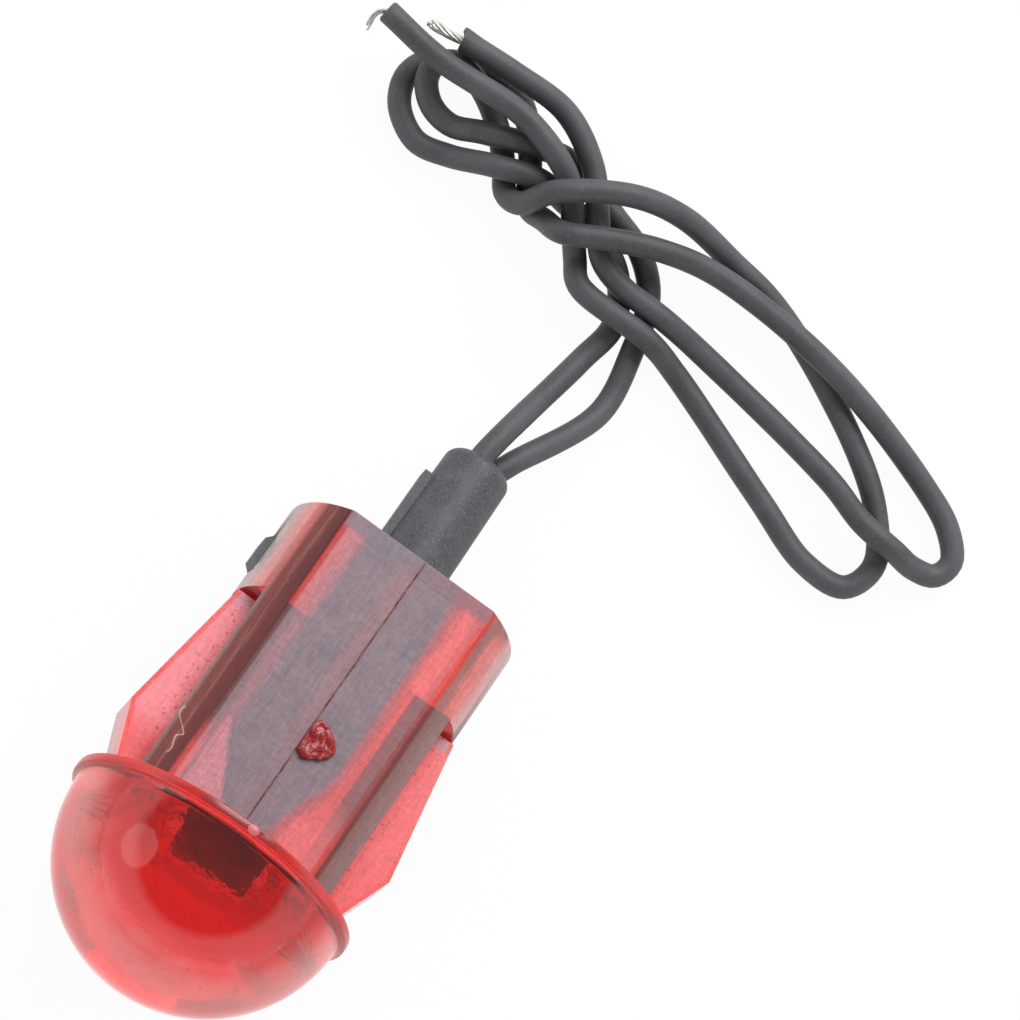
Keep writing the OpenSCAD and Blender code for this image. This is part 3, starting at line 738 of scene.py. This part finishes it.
def bulb_glass():
    """Clear blown glass, thinly wavy, with a faint haze of soot in patches."""
    s = Surface("bulb_glass")
    where = s.add("TexCoord").outputs["Object"]
    wave = s.noise(where, 500.0, 2.0, 0.5)
    haze = s.noise(where, 900.0, 3.0, 0.6)
    color = s.blend(s.ramp(haze, 0.5, 0.75), (1.0, 1.0, 1.0), (0.86, 0.84, 0.8))
    rough = s.ramp(haze, 0.5, 0.8, 0.01, 0.09)
    return s.finish(wave, 0.5, 0.00005, Base_Color=color, Roughness=rough, IOR=1.5, Transmission_Weight=1.0)


def bead_glass():
    """The pale blue-green bead that the support wires pass through, with tiny bubbles."""
    s = Surface("bead_glass")
    where = s.add("TexCoord").outputs["Object"]
    bubble = s.noise(where, 4200.0, 2.0, 0.5)
    color = s.blend(s.ramp(bubble, 0.62, 0.7), (0.6, 0.75, 0.78), (0.85, 0.92, 0.93))
    rough = s.ramp(bubble, 0.4, 0.7, 0.06, 0.2)
    return s.finish(bubble, 0.4, 0.00002, Base_Color=color, Roughness=rough, IOR=1.5, Transmission_Weight=0.8)


def wear(node, material):
    """Gives a piece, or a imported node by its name, one material in all its slots."""
    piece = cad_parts[node] if isinstance(node, str) else node
    if not piece.data.materials:
        piece.data.materials.append(material)
    for slot in piece.material_slots:
        slot.material = material


# ---------------------------------------------------------------- operators

class LAMP_OT_camera(bpy.types.Operator):
    """Sets the camera that looks down on the lamp"""
    bl_idname = "lamp.camera"
    bl_label = "Camera"

    def execute(self, context):
        azimuth, elevation, roll = (math.radians(a) for a in CAMERA_ANGLES)
        back = Vector((math.sin(azimuth) * math.cos(elevation), -math.cos(azimuth) * math.cos(elevation),
                       math.sin(elevation)))
        right0 = (-back).cross(Vector((0, 0, 1))).normalized()
        up0 = right0.cross(-back)
        right = right0 * math.cos(roll) + up0 * math.sin(roll)
        up = up0 * math.cos(roll) - right0 * math.sin(roll)
        data = bpy.data.cameras.new("camera")
        data.lens = CAMERA_LENS
        data.sensor_width = 36.0
        data.clip_start = 0.01
        data.clip_end = 10.0
        camera = bpy.data.objects.new("camera", data)
        axes = Matrix((right, up, back)).transposed()
        camera.matrix_world = Matrix.Translation(CAMERA_PLACE) @ axes.to_4x4()
        context.scene.collection.objects.link(camera)
        context.scene.camera = camera
        return {"FINISHED"}


class LAMP_OT_leads(bpy.types.Operator):
    """Lays the two insulated leads and their bare ends along their routes"""
    bl_idname = "lamp.leads"
    bl_label = "Leads"

    def execute(self, context):
        s = context.scene.lamp_leads
        jacket = jacket_plastic(tuple(s.jacket))
        metal = drawn_metal("tinned_copper", (0.74, 0.73, 0.71), (0.5, 0.47, 0.43), 0.34, 8.0)
        for k, (route, bare, width, strands) in enumerate((
                (ROUTE_1, BARE_1, s.strand_d, 7), (ROUTE_2, BARE_2, s.thin_d, 3))):
            exit_x, exit_z = LEAD_EXITS[k]
            inside = to_rest([(exit_x, y, exit_z) for y in (LEAD_START, SLEEVE_END)])
            path = smooth_route(np.vstack([inside / MM, route]), ROUTE_STEP)
            path[:, 2] = np.maximum(path[:, 2], s.lead_d / 2)
            piece = tube_object("lead_jacket_%d" % (k + 1), jacket_rings(path, s.lead_d / 2, k == 0), path)
            wear(piece, jacket)
            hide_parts("lead_%d" % (k + 1))
            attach(piece, "root")
            ends = smooth_route(np.vstack([path[-1:], bare]), 0.1)
            heading = (path[-1] - path[-2]) / np.linalg.norm(path[-1] - path[-2])
            strand = twisted_strands("bare_end_%d" % (k + 1), ends, width / 2, strands, heading)
            wear(strand, metal)
            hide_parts("tip_%d" % (k + 1))
            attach(strand, "root")
        return {"FINISHED"}


def jacket_rings(path, radius, torn, steps=24):
    """The jacket's rings: r plus small dents, and at the cut end either a slant with a flare or a soft edge.

    The last ring is drawn in by 0.3 of the lip, which shows the jacket's thickness round the strands.
    """
    along = np.arange(len(path)) * ROUTE_STEP
    r = radius * (1.0 + 0.006 * np.sin(1.7 * along) + 0.005 * np.sin(0.61 * along + 1.0))
    if torn:
        to_end = np.linalg.norm(path - path[-1], axis=1)
        r = r * (1.0 + 0.09 * np.clip(1.0 - to_end / 1.1, 0.0, 1.0) ** 2)
    rings = tube(path, r, steps)
    heading, side, _ = carried_frames(path)
    lip = rings[-1] - path[-1]
    if torn:
        ragged = 0.12 * np.sin(3.0 * np.arange(steps) * math.tau / steps)
        rings[-1] += heading[-1] * (0.42 * (lip @ side[-1]) + ragged)[:, None]
    else:
        rings[-2] = path[-1] - 0.1 * heading[-1] + lip
        rings[-1] = path[-1] + 0.86 * lip
    return np.concatenate([rings, rings[-1:] - 0.3 * lip])


def twisted_strands(name, path, reach, count, heading):
    """Bare strands laid round each other: strand k follows p + d (cos t side + sin t up), t turning along it.

    More than three strands lie round a straight core. They spread towards their ends, which are uneven.
    """
    cored = count > 3
    thin = reach * (0.36 if cored else 0.46)
    one_turn = 3.2
    along = lengths_along(path)
    _, side, up = carried_frames(path, heading)
    verts, faces = [], []
    for k in range(count):
        turn = math.tau * (k / (count - cored) + along / one_turn) + 0.2 * np.sin(2.0 * along + k)
        spread = (reach - thin) * (1.0 + 0.35 * (along / along[-1]) ** 2 * ((k * 5) % 4) / 3)
        if cored and k == 0:
            spread = np.zeros(len(path))
        line = path + (np.cos(turn) * spread)[:, None] * side + (np.sin(turn) * spread)[:, None] * up
        stop = len(path) - (k * 3) % 4
        points, quads = lofted(tube(line[:stop], thin, 10, heading) * MM)
        base = sum(len(v) for v in verts)
        verts.append(points)
        faces += [[i + base for i in face] for face in quads]
    piece = make_object(name, np.concatenate(verts), faces, placed=False)
    piece.data.shade_smooth()
    piece.data.set_sharp_from_angle(angle=math.radians(50))
    return piece


class LAMP_OT_lens_body(bpy.types.Operator):
    """Moulds the red body: dome, flange, barrel, windows, wings and cavity in one solid"""
    bl_idname = "lamp.lens_body"
    bl_label = "Lens body"

    def execute(self, context):
        piece = moulded_body(context.scene.lamp_body)
        wear(piece, lens_plastic())
        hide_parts("lens_body")
        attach(piece, "root")
        return {"FINISHED"}


def barrel_outline(s, steps=28):
    """The double-D section: two arcs of the barrel's circle joined by the flats."""
    r = s.barrel_d / 2
    a = math.degrees(math.asin(s.across_flats / 2 / r))
    right = arc(0, 0, r, -a, a, steps)
    return np.vstack([right, -right])


def barrel_solid(s):
    """The barrel: its section carried along y, in rows of (y, share of its width), drawn in at the end."""
    outline = barrel_outline(s)
    rows = np.array([(-s.flange_t, 1.0), (s.barrel_len - 0.12, 1.0), (s.barrel_len - 0.03, 0.995),
                     (s.barrel_len, 0.98)])
    rings = np.zeros((len(rows), len(outline), 3))
    rings[:, :, 0] = outline[:, 0] * rows[:, 1:]
    rings[:, :, 2] = outline[:, 1] * rows[:, 1:]
    rings[:, :, 1] = rows[:, :1]
    return lofted(rings)


def cap_solid(s):
    """The dome and the flange, turned from one profile, whose rim is rounded more in front than behind."""
    front, rim, round_front, round_back = -s.flange_t, s.flange_d / 2, 0.12, 0.08
    dome = arc(0, front, s.dome_r, 270, 359, 40)
    edge = np.vstack([arc(rim - round_front, front + round_front, round_front, -90, 0, 5),
                      arc(rim - round_back, -round_back, round_back, 0, 90, 4)])
    return turned(np.vstack([dome, edge, [(0, 0)]]), 128)


def body_cutters(s):
    """What is cut from the body: the nose, the cavity, the mouth at its end, the latch's slot and the windows."""
    half_w, half_h, past = s.cavity_w / 2, s.cavity_h / 2, 1.0
    outside = s.barrel_d / 2 + past
    fillet, nose_overlap = s.nose_fillet, 0.4
    nose = np.vstack([[(0, -s.nose_depth)], arc(half_w - fillet, fillet - s.nose_depth, fillet, 270, 360, 14)])
    mouth_w, mouth_h, mouth_depth = 3.9, 4.1, 1.0
    slot_start, slot_end, slot_h, slot_overlap = 12.0, 14.3, 1.0, 0.5
    window_floor = half_w + 1.0
    cutters = [
        turned(np.vstack([nose, [(half_w, nose_overlap), (0, nose_overlap)]]), 96),
        block((-half_w, 0, -half_h), (half_w, s.barrel_len + past, half_h)),
        block((-mouth_w, s.barrel_len - mouth_depth, -mouth_h), (mouth_w, s.barrel_len + past, mouth_h)),
        block((-outside, slot_start, -slot_h), (slot_overlap - half_w, slot_end, slot_h)),
    ]
    for start, end in ((-outside, -window_floor), (window_floor, outside)):
        cutters.append(block((start, 0, -s.window_h / 2), (end, s.window_len, s.window_h / 2)))
    return cutters


def moulded_body(s):
    """Joins and cuts the body's simple solids, rounds its edges and sets the small marks on it."""
    piece = make_object("lens_moulding", *barrel_solid(s))
    combine(piece, make_object("cap", *cap_solid(s)), "UNION")
    for cutter in body_cutters(s):
        combine(piece, make_object("cutter", *cutter), "DIFFERENCE")
    for side in (-1, 1):
        combine(piece, make_object("wing", *wing_solid(s, side)), "UNION")
    make_whole(piece, reach=0.00002)
    finish_edges(piece, width=0.07)
    make_whole(piece, angle=0.0)
    for mark in (gate_mark(s), parting_ridge(s), rim_nub(s)):
        combine(piece, make_object("mark", *mark), "UNION")
    make_whole(piece, reach=0.000001, angle=0.0)
    piece.data.shade_smooth()
    piece.data.set_sharp_from_angle(angle=math.radians(32))
    keep_flat(piece)
    return piece


def gate_mark(s, steps=72):
    """Where the runner was torn off: a low three-cornered lump, cut straight along the parting line.

    Its outline is r = 0.93 + 0.11 cos 3a round its middle, and its rows rise as a crater with a raised lip.
    """
    flat = s.across_flats / 2
    a = np.linspace(0, 2 * math.pi, steps, endpoint=False)
    r = 0.93 + 0.11 * np.cos(3 * a) + 0.02 * np.sin(7 * a + 1.0) + 0.015 * np.sin(13 * a)
    # Each row's share of the outline, its height over the flat and its ripple.
    crater = ((1.06, -0.2, 0.0), (1.04, 0.02, 0.0), (1.0, 0.16, 0.01), (0.94, 0.27, 0.02), (0.84, 0.33, 0.03),
              (0.72, 0.3, 0.04), (0.58, 0.24, 0.05), (0.42, 0.27, 0.05), (0.3, 0.33, 0.03), (0.2, 0.26, 0.02),
              (0.08, 0.22, 0.0))
    rows = []
    for share, height, ripple in crater:
        x = GATE[0] + 0.88 * share * r * np.cos(a)
        y = GATE[1] + 1.04 * share * r * np.sin(a)
        lift = height + ripple * np.sin(2 * a + 9 * share) + 0.6 * ripple * np.sin(5 * a - 7 * share)
        rows.append(np.stack([np.maximum(x, 0.05 + 0.3 * (1.06 - share)), y, flat + lift], axis=-1))
    return lofted(np.array(rows))


def parting_ridge(s):
    """The thin ridge where the mould's halves met, wavering along the upper flat: x = 0.08 + 0.015 sin 2.1y."""
    flat = s.across_flats / 2
    y = np.linspace(0.6, s.barrel_len - 0.12, 160)
    x = 0.08 + 0.015 * np.sin(2.1 * y) + 0.008 * np.sin(7.3 * y)
    half = 0.05 + 0.012 * np.sin(5.1 * y + 0.5) + 0.01 * np.sin(11.7 * y)
    top = flat + 0.035 + 0.015 * np.sin(3.3 * y)
    rows = np.stack([np.stack([x + k * half, y, z], axis=-1) for k, z in (
        (-1.0, flat - 0.1 + 0 * y), (1.0, flat - 0.1 + 0 * y), (1.0, flat - 0.01 + 0 * y), (0.5, top), (-0.5, top),
        (-1.0, flat - 0.01 + 0 * y))], axis=1)
    return lofted(rows)


def rim_nub(s):
    """A small round nub on the rim's top where the parting line crosses it: part of a flat ellipsoid."""
    a = np.linspace(0, math.pi, 14)
    half_x, half_y, flatness, sunk = 0.3, 0.25, 0.3, 0.06
    profile = np.stack([half_x * np.sin(a), NUB[1] - half_y * np.cos(a)], axis=-1)
    verts, faces = turned(profile, 32)
    verts[:, 2] *= flatness
    return verts + (NUB[0], 0.0, s.flange_d / 2 - sunk), faces


def wing_solid(s, side):
    """A wing: a rectangular section carried along y, widest near its free end and narrowed at the root."""
    inner, r, end = s.cavity_w / 2 + WING_INSET, s.barrel_d / 2, s.window_len
    wide, narrow = s.wing_w / 2, 0.9
    # Each section's y, how far out it reaches in x, and half its height in z.
    sections = ((0.5, s.wing_reach - 1.05, wide), (3.3, s.wing_reach, wide), (end - 0.35, r - 0.03, wide),
                (end - 0.05, r - 0.09, narrow), (end + 0.4, r - 0.12, narrow))
    return lofted(np.array([
        [(inner * side, y, -half), (outer * side, y, -half), (outer * side, y, half), (inner * side, y, half)]
        for y, outer, half in sections]))


class LAMP_OT_inside(bpy.types.Operator):
    """Finishes the holder, the bulb and the joints inside the body"""
    bl_idname = "lamp.inside"
    bl_label = "Holder and bulb"

    def execute(self, context):
        holder = rounded_copy("lamp_holder", "holder_moulding", width=0.06)
        wear(holder, holder_plastic())
        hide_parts("lamp_holder")
        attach(holder, "root")
        wear("bulb_glass", bulb_glass())
        wear("bulb_bead", bead_glass())
        wire = drawn_metal("support_wire", (0.62, 0.56, 0.5), (0.42, 0.36, 0.3), 0.3, 30.0)
        solder = drawn_metal("solder", (0.7, 0.7, 0.72), (0.45, 0.45, 0.47), 0.38, 6.0)
        strand = drawn_metal("inner_copper", (0.74, 0.71, 0.66), (0.6, 0.44, 0.32), 0.33, 12.0)
        for k in (1, 2):
            wear("support_wire_%d" % k, wire)
            wear("solder_joint_%d" % k, solder)
            wear("inner_strand_%d" % k, strand)
        wear("filament", drawn_metal("filament_wire", (0.42, 0.42, 0.44), (0.25, 0.25, 0.27), 0.4, 40.0))
        return {"FINISHED"}


def floor_plaster(s):
    """Pale floor: diffuse where light falls, and a plain glow where the camera or the plastic looks at it."""
    look = Surface("floor")
    ray = look.add("LightPath")
    through = look.most(ray.outputs["Is Glossy Ray"], ray.outputs["Is Transmission Ray"])
    seen = look.most(look.both(ray.outputs["Is Camera Ray"], 0.95), look.both(through, s.floor_glow))
    diffuse = look.add("BsdfDiffuse", Color=(0.85, 0.85, 0.85, 1))
    white = look.add("Emission", Color=(*s.backdrop, 1), Strength=1.0)
    partly = look.add("MixShader", i0=seen, i1=diffuse, i2=white)
    look.tree.links.new(partly.outputs[0], look.out.inputs["Surface"])
    return look.material


def studio_world(s):
    """The room: brighter walls than ceiling, and plain white to the camera."""
    world = bpy.data.worlds.new("studio")
    world.use_nodes = True
    tree = world.node_tree
    sky = tree.nodes["Background"]
    sky.inputs["Color"].default_value = (*s.backdrop, 1)
    up = tree.nodes.new("ShaderNodeSeparateXYZ")
    tree.links.new(tree.nodes.new("ShaderNodeTexCoord").outputs["Generated"], up.inputs[0])
    height = tree.nodes.new("ShaderNodeMapRange")
    tree.links.new(up.outputs[2], height.inputs[0])
    for i, value in enumerate((0.44, 0.56, s.wall_light, s.ceiling_light), 1):
        height.inputs[i].default_value = value
    eye = tree.nodes.new("ShaderNodeLightPath")
    mix = tree.nodes.new("ShaderNodeMix")
    tree.links.new(eye.outputs["Is Camera Ray"], mix.inputs[0])
    tree.links.new(height.outputs[0], mix.inputs[2])
    mix.inputs[3].default_value = 1.0
    tree.links.new(mix.outputs[0], sky.inputs["Strength"])
    return world


def soft_light(name, shape, width, power, place, turn):
    """An area light at a place, in metres, turned by angles about x, y and z."""
    light = bpy.data.lights.new(name, "AREA")
    light.shape = shape
    light.size = width
    light.energy = power
    lamp = linked(name, light)
    lamp.location = place
    lamp.rotation_euler = turn


class LAMP_OT_stage(bpy.types.Operator):
    """Lays the pale floor and sets the soft light"""
    bl_idname = "lamp.stage"
    bl_label = "Stage"

    def execute(self, context):
        s = context.scene.lamp_stage
        half, drop = 1.5, -0.00002
        corners = [(-half, -half, drop), (half, -half, drop), (half, half, drop), (-half, half, drop)]
        floor = make_object("floor", corners, [[0, 1, 2, 3]], placed=False)
        floor.data.materials.append(floor_plaster(s))
        context.scene.world = studio_world(s)
        distance, lean_back = 0.55, math.radians(46)
        soft_light("softbox", "SQUARE", 0.4, s.lamp_power,
                   (0.0, distance * math.sin(lean_back), distance * math.cos(lean_back)), (-lean_back, 0, 0))
        soft_light("window", "DISK", 0.26, s.window_power,
                   (-0.381, -0.187, 0.265), (0, math.radians(-58), math.radians(26)))
        context.scene.view_settings.view_transform = "Standard"
        return {"FINISHED"}


class LAMP_PT_panel(bpy.types.Panel):
    """Lists the steps that build the indicator light"""
    bl_idname = "LAMP_PT_panel"
    bl_label = "Indicator Light"
    bl_space_type = "VIEW_3D"
    bl_region_type = "UI"
    bl_category = "Indicator Light"

    def draw(self, context):
        for operator in OPERATORS:
            self.layout.operator(operator.bl_idname)


OPERATORS = (LAMP_OT_camera, LAMP_OT_leads, LAMP_OT_lens_body, LAMP_OT_inside, LAMP_OT_stage)
SETTINGS = (("lamp_body", LampBodySettings), ("lamp_leads", LeadSettings), ("lamp_stage", StageSettings))


def register():
    for name, settings in SETTINGS:
        bpy.utils.register_class(settings)
        setattr(bpy.types.Scene, name, bpy.props.PointerProperty(type=settings))
    for item in (*OPERATORS, LAMP_PT_panel):
        bpy.utils.register_class(item)


def unregister():
    for item in (LAMP_PT_panel, *OPERATORS[::-1]):
        bpy.utils.unregister_class(item)
    for name, settings in SETTINGS[::-1]:
        delattr(bpy.types.Scene, name)
        bpy.utils.unregister_class(settings)


def main():
    register()
    for operator in OPERATORS:
        group, name = operator.bl_idname.split(".")
        getattr(getattr(bpy.ops, group), name)()


if __name__ == "__main__":
    main()
